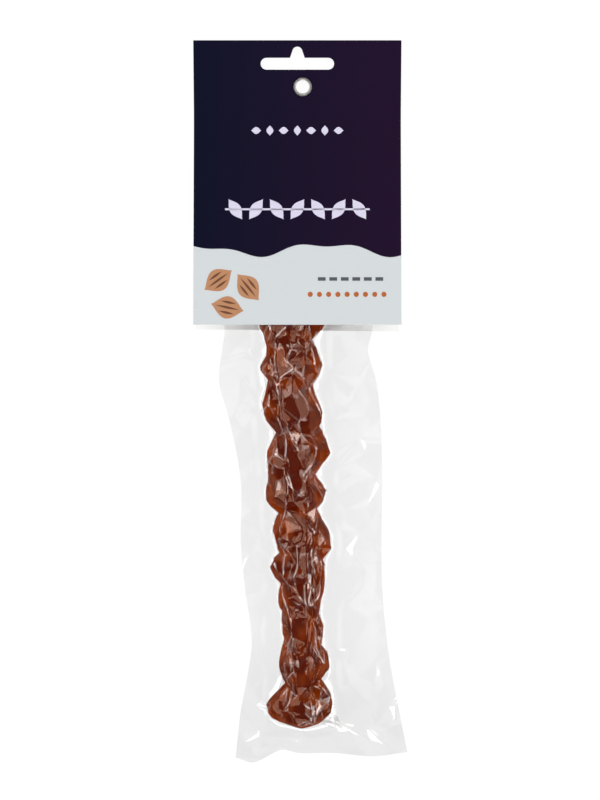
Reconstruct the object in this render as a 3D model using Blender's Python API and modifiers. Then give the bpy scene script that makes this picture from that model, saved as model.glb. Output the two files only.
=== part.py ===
"""A churchkhela, walnuts on a string under dried plum juice, in a clear vacuum pouch with a folded header card.

The pack lies on its back with the shown side up. The origin is on the surface it lies on, under the middle
of its bounding box. +X is the reader's right, +Y points to the folded end of the card and +Z is up.
"""

import math
import random

import bmesh
import bpy
from mathutils import Vector, noise

MM = 0.001
GAP = 0.3 * MM  # left between pieces that touch

# Header card: one strip of board, folded over the closed end of the pouch.
CARD_WIDTH = 90.4 * MM
CARD_THICKNESS = 0.4 * MM
CARD_X = -2.6 * MM
FOLD_Y = 163.3 * MM
FRONT_REACH = 121.1 * MM  # from the fold to the front panel's free edge, seen from above
BACK_REACH = 127.8 * MM
BACK_EDGE_SKEW = 1.0 * MM  # the back panel's free edge is this much lower at the right
CLAMPED_REACH = 25.0 * MM  # from the fold, where the eyelet holds both panels together
FRONT_BEND = 16.0 * MM  # over which the front panel turns up to pass over the food
BACK_SETTLE = 18.0 * MM  # over which the back panel comes down to the surface
FRONT_EDGE_HEIGHT = 26.6 * MM  # top of the front panel's free edge
BEND_STEPS = 8

# Euro slot, punched through both panels.
SLOT_WIDTH = 32.0 * MM
SLOT_BAR_HEIGHT = 5.1 * MM
SLOT_HEIGHT = 9.9 * MM
SLOT_BUMP_BASE = 6.4 * MM
SLOT_BUMP_RADIUS = 2.2 * MM
SLOT_LOWER_EDGE = 12.6 * MM  # from the fold
ARC_STEPS = 8

# Eyelet that fastens card and pouch.
EYELET_X = -0.3 * MM
EYELET_FROM_FOLD = 20.0 * MM
EYELET_BORE = 2.95 * MM
EYELET_BARREL = 3.3 * MM
EYELET_RIM = 4.05 * MM
EYELET_FLANGE = 0.5 * MM
EYELET_STEPS = 32

# Levels of what the eyelet holds, from the surface up.
BACK_LIFT = EYELET_FLANGE + GAP
FILM_THICKNESS = 0.4 * MM
FILM_LIFT = BACK_LIFT + CARD_THICKNESS + GAP
FRONT_LIFT = FILM_LIFT + FILM_THICKNESS + GAP
EYELET_HEIGHT = FRONT_LIFT + CARD_THICKNESS + GAP + EYELET_FLANGE

# Churchkhela. Distances run along the string from its lower end.
FOOD_LOWER_Y = -146.5 * MM
FOOD_LENGTH = 200.0 * MM
FOOD_AXIS_HEIGHT = 12.7 * MM
FOOD_AXIS_X_UPPER = -5.4 * MM
FOOD_AXIS_X_LOWER = -0.6 * MM
FOOD_LEAN_FROM = 81.5 * MM  # the string leans over between these distances
FOOD_LEAN_TO = 161.5 * MM
COAT_RADIUS = 8.0 * MM  # the dried juice on the string between the nuts
LOWER_CAP = 9.0 * MM
UPPER_CAP = 12.0 * MM
CARD_BED = 0.75 * MM  # the food lies this much higher where the back panel is under it

# Walnut halves that show at the two sides: distance along the string, reach from it and half length.
LEFT_NUTS = (
    (10.5 * MM, 16.6 * MM, 11.1 * MM),
    (31.6 * MM, 11.8 * MM, 13.1 * MM),
    (52.8 * MM, 9.6 * MM, 11.7 * MM),
    (63.8 * MM, 11.2 * MM, 12.7 * MM),
    (76.0 * MM, 14.7 * MM, 9.9 * MM),
    (92.6 * MM, 13.7 * MM, 13.5 * MM),
    (109.9 * MM, 16.0 * MM, 10.3 * MM),
    (124.0 * MM, 13.2 * MM, 16.0 * MM),
    (150.9 * MM, 13.5 * MM, 16.0 * MM),
    (169.7 * MM, 14.1 * MM, 12.6 * MM),
    (186.2 * MM, 14.2 * MM, 12.2 * MM),
)
RIGHT_NUTS = (
    (12.0 * MM, 15.0 * MM, 14.7 * MM),
    (32.2 * MM, 13.7 * MM, 10.2 * MM),
    (46.9 * MM, 9.2 * MM, 10.4 * MM),
    (70.8 * MM, 12.4 * MM, 12.4 * MM),
    (87.6 * MM, 13.6 * MM, 12.2 * MM),
    (110.3 * MM, 12.6 * MM, 9.1 * MM),
    (130.5 * MM, 16.7 * MM, 12.5 * MM),
    (146.3 * MM, 13.9 * MM, 16.0 * MM),
    (170.8 * MM, 14.4 * MM, 16.0 * MM),
    (189.9 * MM, 18.4 * MM, 12.3 * MM),
)
SIDE_NUT_THICKNESS = 10.4 * MM
NUT_SPACING = 17.5 * MM  # of the halves that face up and down
NUT_SPREAD = 2.5 * MM
NUT_HALF_LENGTH = 11.5 * MM
NUT_THICKNESS = 8.4 * MM
UP_REACH = (11.6 * MM, 12.7 * MM)
DOWN_REACH = (12.9 * MM, 13.4 * MM)
FOOD_SEED = 11

# Wrinkled skin of the dried juice under the tight film.
WRINKLE_SIZE = 6.5 * MM
WRINKLE_DEPTH = 1.3 * MM
FOOD_SIDES = 40
FOOD_RINGS = 80
OUTLINE_GAP = 0.5 * MM  # from the food's outline to the film beside it

# Pouch film: the two layers that lie on each other beside the food.
# Distance up the pack, left edge and right edge.
POUCH_EDGES = (
    (-159.0 * MM, -31.0 * MM, 47.8 * MM),
    (-140.0 * MM, -28.7 * MM, 44.1 * MM),
    (-122.0 * MM, -25.4 * MM, 40.6 * MM),
    (-105.0 * MM, -23.3 * MM, 38.0 * MM),
    (-81.5 * MM, -26.1 * MM, 35.8 * MM),
    (-60.0 * MM, -28.0 * MM, 35.2 * MM),
    (-30.0 * MM, -28.0 * MM, 35.3 * MM),
    (-3.0 * MM, -32.8 * MM, 34.4 * MM),
    (14.0 * MM, -37.3 * MM, 32.4 * MM),
    (28.5 * MM, -35.9 * MM, 28.6 * MM),
    (37.0 * MM, -34.7 * MM, 30.4 * MM),
    (60.0 * MM, -37.0 * MM, 32.5 * MM),
    (90.0 * MM, -39.0 * MM, 35.5 * MM),
    (149.0 * MM, -39.5 * MM, 36.5 * MM),
)
# Lower edge: distance across and how far it lies from the straight cut.
POUCH_FOOT = (
    (-31.0 * MM, -2.3 * MM),
    (-22.3 * MM, -4.3 * MM),
    (-10.0 * MM, 1.7 * MM),
    (-2.0 * MM, 0.1 * MM),
    (14.0 * MM, 0.1 * MM),
    (32.0 * MM, -1.6 * MM),
    (47.8 * MM, 0.4 * MM),
)
FOOT_FADE = 22.0 * MM
POUCH_COLUMNS = 12
POUCH_ROWS = 48
FILM_LEVEL = 12.0 * MM  # of the film at the food's sides
FILM_SHARE_OF_RISE = 0.44  # of the front panel's rise, where the film lies between the panels
EDGE_DROOP = 3.4 * MM
DROOP_REACH = 24.0 * MM
FOOT_DROOP = 3.0 * MM
RIPPLE = 1.1 * MM
RIPPLE_LENGTH = 31.0 * MM

# The same colours that the pack shows, one for each piece.
COLOURS = {
    "churchkhela": ((0.22, 0.055, 0.012, 1.0), 0.28, 0.0),
    "vacuum_pouch": ((0.86, 0.87, 0.87, 0.35), 0.15, 0.0),
    "header_card": ((0.012, 0.011, 0.028, 1.0), 0.45, 0.0),
    "eyelet": ((0.62, 0.60, 0.55, 1.0), 0.3, 1.0),
}


def clamp01(value):
    return max(0.0, min(1.0, value))


def ease(value):
    """0 below 0, 1 above 1 and a smooth turn between."""
    t = clamp01(value)
    return t * t * (3.0 - 2.0 * t)


def along(stations, position, column):
    """A column of a table of stations, joined by a smooth curve through them."""
    if position <= stations[0][0]:
        return stations[0][column]
    for index in range(len(stations) - 1):
        start, end = stations[index], stations[index + 1]
        if position <= end[0]:
            before = stations[max(index - 1, 0)]
            after = stations[min(index + 2, len(stations) - 1)]
            span = end[0] - start[0]
            t = (position - start[0]) / span
            slope_in = (end[column] - before[column]) / (end[0] - before[0]) * span
            slope_out = (after[column] - start[column]) / (after[0] - start[0]) * span
            return (
                start[column] * (2 * t**3 - 3 * t**2 + 1)
                + slope_in * (t**3 - 2 * t**2 + t)
                + end[column] * (3 * t**2 - 2 * t**3)
                + slope_out * (t**3 - t**2)
            )
    return stations[-1][column]


# The food


def walnut_halves():
    """Every walnut half: distance along the string, direction about it, reach, half length, thickness."""
    halves = []
    for direction, nuts in ((math.pi, LEFT_NUTS), (0.0, RIGHT_NUTS)):
        for distance, reach, half_length in nuts:
            halves.append((distance, direction, reach, half_length, SIDE_NUT_THICKNESS))
    draw = random.Random(FOOD_SEED)
    for direction, reaches in ((math.pi / 2, UP_REACH), (-math.pi / 2, DOWN_REACH)):
        distance = NUT_SPACING / 2
        while distance < FOOD_LENGTH:
            place = distance + draw.uniform(-NUT_SPREAD, NUT_SPREAD)
            turned = direction + draw.uniform(-0.35, 0.35)
            reach = draw.uniform(*reaches)
            halves.append((place, turned, reach, NUT_HALF_LENGTH, NUT_THICKNESS))
            distance += NUT_SPACING
    return halves


def half_radius(half, distance, angle):
    """How far one walnut half reaches in a direction: a half ellipsoid that sits on the string."""
    centre, direction, reach, half_length, thickness = half
    offset = (distance - centre) / half_length
    if abs(offset) >= 1.0:
        return 0.0
    facing = math.cos(angle - direction)
    across = math.sin(angle - direction) / thickness
    forward = max(facing, 0.0) / reach
    backward = max(-facing, 0.0) / COAT_RADIUS
    return math.sqrt(1.0 - offset * offset) / math.hypot(across, forward, backward)


def food_axis_x(distance):
    lean = ease((distance - FOOD_LEAN_FROM) / (FOOD_LEAN_TO - FOOD_LEAN_FROM))
    return FOOD_AXIS_X_LOWER + (FOOD_AXIS_X_UPPER - FOOD_AXIS_X_LOWER) * lean


def food_radius(halves, distance, angle):
    """Smooth outer form of nuts and coat, before the ends are rounded off."""
    sharpness = 9.0
    total = COAT_RADIUS**sharpness
    for half in halves:
        total += half_radius(half, distance, angle) ** sharpness
    return total ** (1.0 / sharpness)


def wrinkle(point):
    """Small cells with creases between them, as the drying skin and the tight film draw them."""
    nearest = noise.voronoi(point / WRINKLE_SIZE)[0]
    return WRINKLE_DEPTH * (min(nearest[1] - nearest[0], 0.6) - 0.45)


def ring_at(share):
    """Distance along the string and closing factor of a ring, for a share of the way over the surface."""
    quarter = math.pi / 2
    lower_arc = LOWER_CAP * quarter
    upper_arc = UPPER_CAP * quarter
    straight = FOOD_LENGTH - LOWER_CAP - UPPER_CAP
    walked = share * (lower_arc + straight + upper_arc)
    if walked < lower_arc:
        turn = quarter * walked / lower_arc
        return LOWER_CAP * (1.0 - math.cos(turn)), math.sin(turn)
    if walked < lower_arc + straight:
        return LOWER_CAP + walked - lower_arc, 1.0
    turn = quarter * (lower_arc + straight + upper_arc - walked) / upper_arc
    return FOOD_LENGTH - UPPER_CAP * (1.0 - math.cos(turn)), math.sin(turn)


def food_floor(y):
    """The level that the food lies on: the surface, or the back panel where that is under it."""
    edge = FOLD_Y - BACK_REACH
    return CARD_BED * clamp01((y - edge + 6 * MM) / (4 * MM))


def food_point(halves, share, angle):
    """A point of the food's surface: share of the way over it from the lower end, and direction."""
    distance, closing = ring_at(share)
    at_axis = Vector((food_axis_x(distance), FOOD_LOWER_Y + distance, FOOD_AXIS_HEIGHT))
    outward = Vector((math.cos(angle), 0.0, math.sin(angle)))
    radius = food_radius(halves, distance, angle)
    radius += wrinkle(at_axis + outward * radius)
    place = at_axis + outward * (radius * closing)
    place.z = max(place.z, food_floor(place.y))
    return place


def make_food(name, halves):
    form = bmesh.new()
    bmesh.ops.create_uvsphere(form, u_segments=FOOD_SIDES, v_segments=FOOD_RINGS, radius=1.0)
    for vertex in form.verts:
        x, y, z = vertex.co
        share = 1.0 - math.acos(max(-1.0, min(1.0, z))) / math.pi
        vertex.co = food_point(halves, share, math.atan2(y, x))
    bmesh.ops.reverse_faces(form, faces=form.faces)
    return finish_mesh(name, form)


def make_food_cutter(halves):
    """The food's outline from above, a little larger, raised to a prism."""
    left = []
    right = []
    for ring in range(FOOD_RINGS + 1):
        share = ring / FOOD_RINGS
        turns = [2 * math.pi * side / FOOD_SIDES for side in range(FOOD_SIDES)]
        places = [food_point(halves, share, turn) for turn in turns]
        y = places[0].y + math.copysign(GAP, share - 0.5) * (ring in (0, FOOD_RINGS))
        left.append((min(place.x for place in places) - OUTLINE_GAP, y))
        right.append((max(place.x for place in places) + OUTLINE_GAP, y))
    return make_prism("food_cutter", right + left[::-1], -2 * MM, 30 * MM)


# The header card


def front_rise(reach):
    """How far the front panel has risen at a distance from the fold."""
    slope = (FRONT_EDGE_HEIGHT - CARD_THICKNESS - FRONT_LIFT) / (
        FRONT_REACH - CLAMPED_REACH - FRONT_BEND / 2
    )
    bent = reach - CLAMPED_REACH
    if bent <= 0.0:
        return 0.0
    if bent < FRONT_BEND:
        return slope * bent * bent / (2 * FRONT_BEND)
    return slope * (bent - FRONT_BEND / 2)


def back_level(reach):
    """Underside of the back panel at a distance from the fold."""
    return BACK_LIFT * (1.0 - ease((reach - CLAMPED_REACH) / BACK_SETTLE))


def card_section():
    """The folded strip from the side, as points (y, z) on the middle of the board."""
    half = CARD_THICKNESS / 2
    fold_radius = (FRONT_LIFT - BACK_LIFT) / 2
    fold_centre = Vector((FOLD_Y - half - fold_radius, BACK_LIFT + half + fold_radius))
    points = [Vector((FOLD_Y - BACK_REACH, half))]
    for step in range(BEND_STEPS + 1):
        reach = CLAMPED_REACH + BACK_SETTLE * (1.0 - step / BEND_STEPS)
        points.append(Vector((FOLD_Y - reach, back_level(reach) + half)))
    for step in range(BEND_STEPS + 1):
        turn = math.pi * (step / BEND_STEPS - 0.5)
        points.append(fold_centre + fold_radius * Vector((math.cos(turn), math.sin(turn))))
    for step in range(BEND_STEPS + 1):
        reach = CLAMPED_REACH + FRONT_BEND * step / BEND_STEPS
        points.append(Vector((FOLD_Y - reach, FRONT_LIFT + half + front_rise(reach))))
    edge_level = FRONT_LIFT + half + front_rise(FRONT_REACH)
    points.append(Vector((FOLD_Y - FRONT_REACH, edge_level)))
    return points


def make_card(name):
    section = card_section()
    form = bmesh.new()
    rows = []
    for x in (-CARD_WIDTH / 2, CARD_WIDTH / 2):
        rows.append([form.verts.new((CARD_X + x, point.x, point.y)) for point in section])
    skew = BACK_EDGE_SKEW / 2
    rows[0][0].co.y += skew
    rows[1][0].co.y -= skew
    for index in range(len(section) - 1):
        corners = (rows[0][index], rows[0][index + 1], rows[1][index + 1], rows[1][index])
        form.faces.new(corners)
    card = finish_mesh(name, form)
    board = card.modifiers.new("board", "SOLIDIFY")
    board.thickness = CARD_THICKNESS
    board.offset = 0.0
    board.use_even_offset = True
    return card


def make_slot_cutter():
    """Outline of the euro slot: a bar with round ends and a tapered bump, rounded at its top."""
    bar_radius = SLOT_BAR_HEIGHT / 2
    bar_centre_y = FOLD_Y - SLOT_LOWER_EDGE + bar_radius
    top = FOLD_Y - SLOT_LOWER_EDGE + SLOT_HEIGHT
    points = []

    def arc(centre_x, centre_y, radius, start, end):
        for step in range(ARC_STEPS + 1):
            turn = start + (end - start) * step / ARC_STEPS
            points.append((centre_x + radius * math.cos(turn), centre_y + radius * math.sin(turn)))

    side = SLOT_WIDTH / 2 - bar_radius
    quarter = math.pi / 2
    arc(CARD_X + side, bar_centre_y, bar_radius, -quarter, quarter)
    points.append((CARD_X + SLOT_BUMP_BASE / 2, bar_centre_y + bar_radius))
    arc(CARD_X, top - SLOT_BUMP_RADIUS, SLOT_BUMP_RADIUS, 0.15, math.pi - 0.15)
    points.append((CARD_X - SLOT_BUMP_BASE / 2, bar_centre_y + bar_radius))
    arc(CARD_X - side, bar_centre_y, bar_radius, quarter, 3 * quarter)

    return make_prism("slot_cutter", points, -2 * MM, 8 * MM)


def make_hole_cutter():
    """Clears the eyelet's barrel through card and film."""
    form = bmesh.new()
    bmesh.ops.create_cone(
        form,
        cap_ends=True,
        segments=EYELET_STEPS,
        radius1=EYELET_BARREL + GAP,
        radius2=EYELET_BARREL + GAP,
        depth=12 * MM,
    )
    bmesh.ops.translate(form, verts=form.verts, vec=eyelet_place())
    return finish_mesh("hole_cutter", form)


# The eyelet


def eyelet_place():
    return Vector((EYELET_X, FOLD_Y - EYELET_FROM_FOLD, 0.0))


def make_eyelet(name):
    """A barrel with a flange at each end, turned from its half section."""
    top = EYELET_HEIGHT
    soft = 0.2 * MM
    upper = [
        (EYELET_BORE + soft, top - soft / 2),
        (EYELET_BARREL, top),
        (EYELET_RIM - 1.5 * soft, top),
        (EYELET_RIM, top - 1.5 * soft),
        (EYELET_RIM - soft / 2, top - EYELET_FLANGE),
        (EYELET_BARREL, top - EYELET_FLANGE),
    ]
    lower = [(radius, top - height) for radius, height in reversed(upper)]
    inner = [(EYELET_BORE, 2 * soft), (EYELET_BORE, top - 2 * soft)]
    form = bmesh.new()
    loop = [form.verts.new((radius, 0.0, height)) for radius, height in upper + lower + inner]
    for index, vertex in enumerate(loop):
        form.edges.new((vertex, loop[(index + 1) % len(loop)]))
    eyelet = finish_mesh(name, form)
    eyelet.location = eyelet_place()
    turned = eyelet.modifiers.new("turned", "SCREW")
    turned.steps = EYELET_STEPS
    turned.render_steps = EYELET_STEPS
    turned.use_merge_vertices = True
    turned.merge_threshold = 0.00001
    return eyelet


# The pouch


def film_level(x, y):
    """Middle of the film's thickness: between the panels, level with the food's sides, then sagging."""
    clamped = FILM_LIFT + FILM_THICKNESS / 2
    reach = FOLD_Y - y
    between_panels = clamped + FILM_SHARE_OF_RISE * front_rise(min(reach, FRONT_REACH))
    open_share = ease((reach - FRONT_REACH + 10 * MM) / (20 * MM))
    level = between_panels + (FILM_LEVEL - between_panels) * open_share
    aside = clamp01((abs(x - food_axis_x(y - FOOD_LOWER_Y)) - 10 * MM) / DROOP_REACH)
    level -= EDGE_DROOP * aside * aside * ease((reach - 70 * MM) / (50 * MM))
    level -= FOOT_DROOP * ease((FOOD_LOWER_Y - y + 4 * MM) / (18 * MM))
    swing = math.sin(2 * math.pi * y / RIPPLE_LENGTH + (1.2 if x > 0 else 0.0))
    return level + RIPPLE * swing * aside * open_share


def make_pouch(name):
    """The flat margins of film as a plate; the food's place is cut out of it."""
    lower = POUCH_EDGES[0][0]
    upper = POUCH_EDGES[-1][0]
    form = bmesh.new()
    bmesh.ops.create_grid(form, x_segments=POUCH_COLUMNS, y_segments=POUCH_ROWS, size=1.0)
    for vertex in form.verts:
        across = (vertex.co.x + 1.0) / 2
        y = lower + (upper - lower) * (vertex.co.y + 1.0) / 2
        left, right = along(POUCH_EDGES, y, 1), along(POUCH_EDGES, y, 2)
        x = left + (right - left) * across
        y += along(POUCH_FOOT, x, 1) * ease(1.0 - (y - lower) / FOOT_FADE)
        vertex.co = Vector((x, y, film_level(x, y)))
    pouch = finish_mesh(name, form)
    film = pouch.modifiers.new("film", "SOLIDIFY")
    film.thickness = FILM_THICKNESS
    film.offset = 0.0
    return pouch


# Building blocks


def make_prism(name, outline, bottom, height):
    form = bmesh.new()
    base = form.faces.new([form.verts.new((x, y, bottom)) for x, y in outline])
    made = bmesh.ops.extrude_face_region(form, geom=[base])
    raised = [item for item in made["geom"] if isinstance(item, bmesh.types.BMVert)]
    bmesh.ops.translate(form, verts=raised, vec=(0.0, 0.0, height))
    bmesh.ops.recalc_face_normals(form, faces=form.faces)
    return finish_mesh(name, form)


def finish_mesh(name, form):
    mesh = bpy.data.meshes.new(name)
    form.to_mesh(mesh)
    form.free()
    return bpy.data.objects.new(name, mesh)


def paint(piece):
    colour, roughness, metallic = COLOURS[piece.name]
    material = bpy.data.materials.new(piece.name)
    material.use_nodes = True
    shader = material.node_tree.nodes["Principled BSDF"]
    shader.inputs["Base Color"].default_value = colour
    shader.inputs["Alpha"].default_value = colour[3]
    shader.inputs["Roughness"].default_value = roughness
    shader.inputs["Metallic"].default_value = metallic
    material.diffuse_color = colour
    piece.data.materials.append(material)


def cut(piece, cutter):
    knife = piece.modifiers.new(cutter.name, "BOOLEAN")
    knife.operation = "DIFFERENCE"
    knife.solver = "EXACT"
    knife.object = cutter


def shade(piece, sharp_from):
    piece.data.shade_smooth()
    piece.data.set_sharp_from_angle(angle=math.radians(sharp_from))


def collection(name):
    made = bpy.data.collections.new(name)
    bpy.context.scene.collection.children.link(made)
    return made


def main():
    for leftover in list(bpy.data.objects):
        bpy.data.objects.remove(leftover)

    halves = walnut_halves()
    food = make_food("churchkhela", halves)
    pouch = make_pouch("vacuum_pouch")
    card = make_card("header_card")
    eyelet = make_eyelet("eyelet")

    food_cutter = make_food_cutter(halves)
    slot_cutter = make_slot_cutter()
    hole_cutter = make_hole_cutter()
    cut(pouch, food_cutter)
    cut(pouch, hole_cutter)
    cut(card, slot_cutter)
    cut(card, hole_cutter)

    pack = collection("churchkhela_pack")
    for piece in (food, pouch, card, eyelet):
        paint(piece)
        pack.objects.link(piece)
    for piece, sharp_from in ((food, 60), (pouch, 40), (card, 30), (eyelet, 40)):
        shade(piece, sharp_from)

    cutters = collection("cutters")
    for cutter in (food_cutter, slot_cutter, hole_cutter):
        cutter.hide_render = True
        cutter.display_type = "WIRE"
        cutters.objects.link(cutter)


main()
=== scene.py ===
"""The dressed churchkhela pack: glossy food in a vacuumed film pouch under a printed header card.

Lengths are in millimetres until a mesh is made. The frame is the CAD's: +X right, +Y towards the card's
fold, +Z up from the surface that the pack lies on.
"""

import math

import bmesh
import bpy
import numpy as np
from mathutils import Matrix, Vector
from mathutils.bvhtree import BVHTree
from mathutils.geometry import delaunay_2d_cdt


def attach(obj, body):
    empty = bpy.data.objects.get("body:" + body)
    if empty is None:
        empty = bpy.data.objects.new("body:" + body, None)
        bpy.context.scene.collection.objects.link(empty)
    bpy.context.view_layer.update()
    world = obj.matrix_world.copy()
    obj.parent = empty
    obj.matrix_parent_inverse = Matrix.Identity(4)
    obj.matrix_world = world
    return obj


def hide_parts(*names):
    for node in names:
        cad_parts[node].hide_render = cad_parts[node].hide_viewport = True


MM = 0.001
ABOVE_CARD = 60.0  # heights from which surfaces are looked up
ABOVE_FOLDS = 50.0
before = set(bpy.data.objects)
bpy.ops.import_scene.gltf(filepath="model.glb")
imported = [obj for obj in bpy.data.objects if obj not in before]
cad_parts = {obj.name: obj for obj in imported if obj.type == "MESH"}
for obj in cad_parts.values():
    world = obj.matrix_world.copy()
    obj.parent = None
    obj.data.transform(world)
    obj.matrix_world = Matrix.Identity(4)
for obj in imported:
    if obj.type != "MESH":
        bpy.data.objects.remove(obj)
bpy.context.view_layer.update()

# The photograph's camera, fitted to the card's edges
CAMERA_TILT = math.radians(11.0)
CAMERA_PLACE = (-1.45, 189.5, 955.5)
CAMERA_LENS = 97.5  # on a 36 mm sensor

# Sky: how nearly a direction is the dark one, and the light there. It is dark where film that lies flat
# mirrors it into the camera, with a lighter ring round that.
DARK_SKY = (0.0, -0.27, 0.963)
SKY_ENDS = ((0.0, 0.2), (0.994, 0.015))
SKY_RING = ((0.82, 0.22), (0.925, 0.4), (0.98, 0.2))

# Lamps, in metres and watts: name, place, width, height, power; all point at the frame's origin
LAMPS = (
    ("softbox_left", (-0.95, 0.1, 0.85), 1.9, 0.95, 16.0),
    ("softbox_right", (0.95, 0.0, 0.85), 1.9, 0.95, 16.0),
    ("softbox_far", (0.0, 1.05, 0.8), 1.3, 0.8, 9.0),
    ("softbox_near", (0.0, -1.2, 0.62), 1.3, 0.7, 9.0),
    ("strip_left", (-0.88, 0.1, 0.8), 1.6, 0.12, 3.0),
    ("strip_right", (0.88, 0.0, 0.8), 1.6, 0.12, 3.0),
)
FLOOR_HALF = 3  # metres
FLOOR_GAP = 0.2
FLOOR_GREY = 0.055
FLOOR_LIGHT = 0.93

# Seeds of the random draws
FOOD_SEED = 21  # crags, then the folds of the film on the food
ANGULAR_SEED = 5
MARGIN_SEED = 8
LAYERS = (("film_front", 1, 3), ("film_back", -1, 4))  # name, side and seed of each sheet

# The food's string, as in the CAD
STRING_Y = -146.5
STRING_LENGTH = 200.0
STRING_Z = 12.7
STRING_X_UPPER = -5.4
STRING_X_LOWER = -0.6
LEAN_FROM = 81.5
LEAN_TO = 161.5

# Tables of the food's surface over the string: distance along it by direction about it
RINGS = 801
SIDES = 320
CAD_TABLE = (401, 160)  # measured on the CAD's solid
ARC_SCALE = 11.5  # mm for each radian round the food
AROUND = 2 * math.pi * ARC_SCALE
RING_STEP = STRING_LENGTH / (RINGS - 1)

# Nut crags under the skin
CRAG_COUNT = 230
END_COUNT = 26  # more of them at the food's lower end, and stars of the film there
END_LENGTH = 17.0
CRAG_HALF_LENGTH = (1.0, 5.0)
CRAG_SLOPE = (0.25, 0.6)
CRAG_HALF_WIDTH = (1.8, 3.6)
CRAG_MIDDLE = 0.75  # of their height, which lies on the form without them
CRAG_LIMIT = 0.35  # to either side of it
FORM_PASSES = 200  # of blur, which take the bulges out of the form
BULGE_GAIN = 1.1  # by which the CAD's bulges stand out more than they do there
BULGE_LIMIT = 0.8
PEAK_COUNT = 520  # places from which the nearest peaks and hollows are looked for
PEAK_SEARCH = 12  # rings and sides of the table to each side of such a place
ANGULAR_SHARE = 0.8  # of the flat facets between them; the rest is the smooth form
ANGULAR_END = 22.0  # mm at each end of the food in which the facets come in
FOOD_YIELD = 0.8  # by which the soft food can give way under the film
YIELD_END = 4.0  # mm at each end of the food in which it begins to
FOOD_RINGS = 560
FOOD_SIDES = 150
FOOD_END = 0.02
FOOD_FLOOR = (1.0, 0.3)  # least height of the food over the back panel and below it
# From the amber rim, painted light coming through the skin beside the string's height, to the food's
# own dark colour above and below it
FOOD_COLOURS_AND_PAINTED_GLOW = ((0.2, (0.142, 0.0185, 0.0006)), (0.95, (0.053, 0.0034, 0.0004)))
PAINTED_GLOW_HEIGHT = 11.0  # above or below the string, at which the middle's colour is reached
MOTTLES = (2.6, -1.25)  # gain of the noise, and what is added to it

# Folds of the film on the food: sharp lines with flat facets between them
STAR_COUNT = 144
STAR_LIFT = (0.5, 1.0)
STAR_ARMS = (3, 6)
ARM_LENGTH = (3.5, 9.0)
ARM_JITTER = 0.25  # of the turn from one arm to the next
VALLEY_REACH = (1.8, 3.8)
LOW_LIFT = (0.15, 0.35)
FILL_COUNT = 240
FILL_LIFT = (0.15, 0.7)
CROSSING_LIFT = 0.4
FOLD_END = 6.0  # mm at each end of the food in which the folds rise
RIM_COUNT = 24
RIM_DISTANCE = 0.4
UNROLLED_MARGIN = 12.0
SAME_PLACE = 1e-3

# Long pleats of the film: distance up the pack and direction from the string in degrees
PLEAT_LIFT = 1.25
PLEAT_HALF_WIDTH = 0.6
PLEAT_STEP = 4.0
# Cells to either side of a pleat's or an arm's crest that get a painted highlight, a shinier film
PLEAT_CELLS = (0, 3)  # of the table, to either side of its pale crest; 0 for none
ARM_CELLS = (0, 2)
# Share of a cell on a crest line at which it gets the painted highlight
CREST_SHARE = 0.5
PLEATS = (
    (
        (-131.0, 122.0), (-122.0, 129.0), (-113.0, 138.0), (-105.0, 129.0),
        (-98.5, 111.0), (-88.0, 129.0), (-78.0, 155.0),
    ),
    (
        (-72.0, 137.0), (-56.0, 140.0), (-48.0, 143.0), (-35.0, 114.0), (-28.0, 111.0), (-24.0, 123.0),
        (-15.6, 108.0), (-10.0, 108.0), (-2.0, 123.0), (11.0, 118.0), (24.0, 128.0), (34.0, 134.0),
    ),
    (
        (-114.0, 30.0), (-106.0, 50.0), (-98.0, 45.0), (-89.0, 67.0),
        (-84.0, 72.0), (-75.5, 74.0), (-69.0, 59.0), (-60.0, 64.0),
    ),
    ((-3.0, 12.0), (3.5, 18.0), (13.0, 32.0), (19.0, 21.0), (28.0, 12.0), (38.0, 28.0)),
)

# Header card, as in the CAD
CARD_X = -2.6
CARD_WIDTH = 90.4
CARD_THICKNESS = 0.4
FOLD_Y = 163.3
FRONT_REACH = 121.1
BACK_REACH = 127.8
CLAMPED_REACH = 25.0
FRONT_BEND = 16.0
FRONT_LIFT = 2.2
FRONT_EDGE_HEIGHT = 26.6
BETWEEN_PANELS = 1.7
EYELET_PLACE = (-0.3, 143.3)
EYELET_RADIUS = 3.4

# Print: colours, and the wavy edge of its pale field
NAVY = (0.0036, 0.0042, 0.012)
PURPLE = (0.01, 0.0042, 0.015)
PALE = (0.375, 0.395, 0.405)
BOARD_WHITE = (0.66, 0.66, 0.65)
WAVE_Y = 74.0
WAVES = ((2.3, 61.0, 0.6), (1.1, 27.0, 2.4))  # height, length, start
PRINT_LIFT = 0.04
LEAF_POINTS = 17
INKS = (  # name, colour
    ("pale_ink", (0.4, 0.38, 0.47)),
    ("grey_ink", (0.05, 0.055, 0.065)),
    ("orange_ink", (0.27, 0.07, 0.014)),
    ("tan_ink", (0.29, 0.14, 0.07)),
    ("brown_ink", (0.09, 0.035, 0.016)),
)
SMALL_Y = 124.5
GARLAND_Y = 91.0
DASHES_Y = 61.5
DOTS_Y = 55.0
KERNELS = ((-37.0, 61.0, 35.0), (-24.0, 58.0, -50.0), (-33.0, 49.5, -12.0))  # x, y, turn in degrees
VEINS = ((-2.2, 7.0), (0.0, 11.0), (2.2, 7.0))  # offset from a kernel's middle, length

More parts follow.
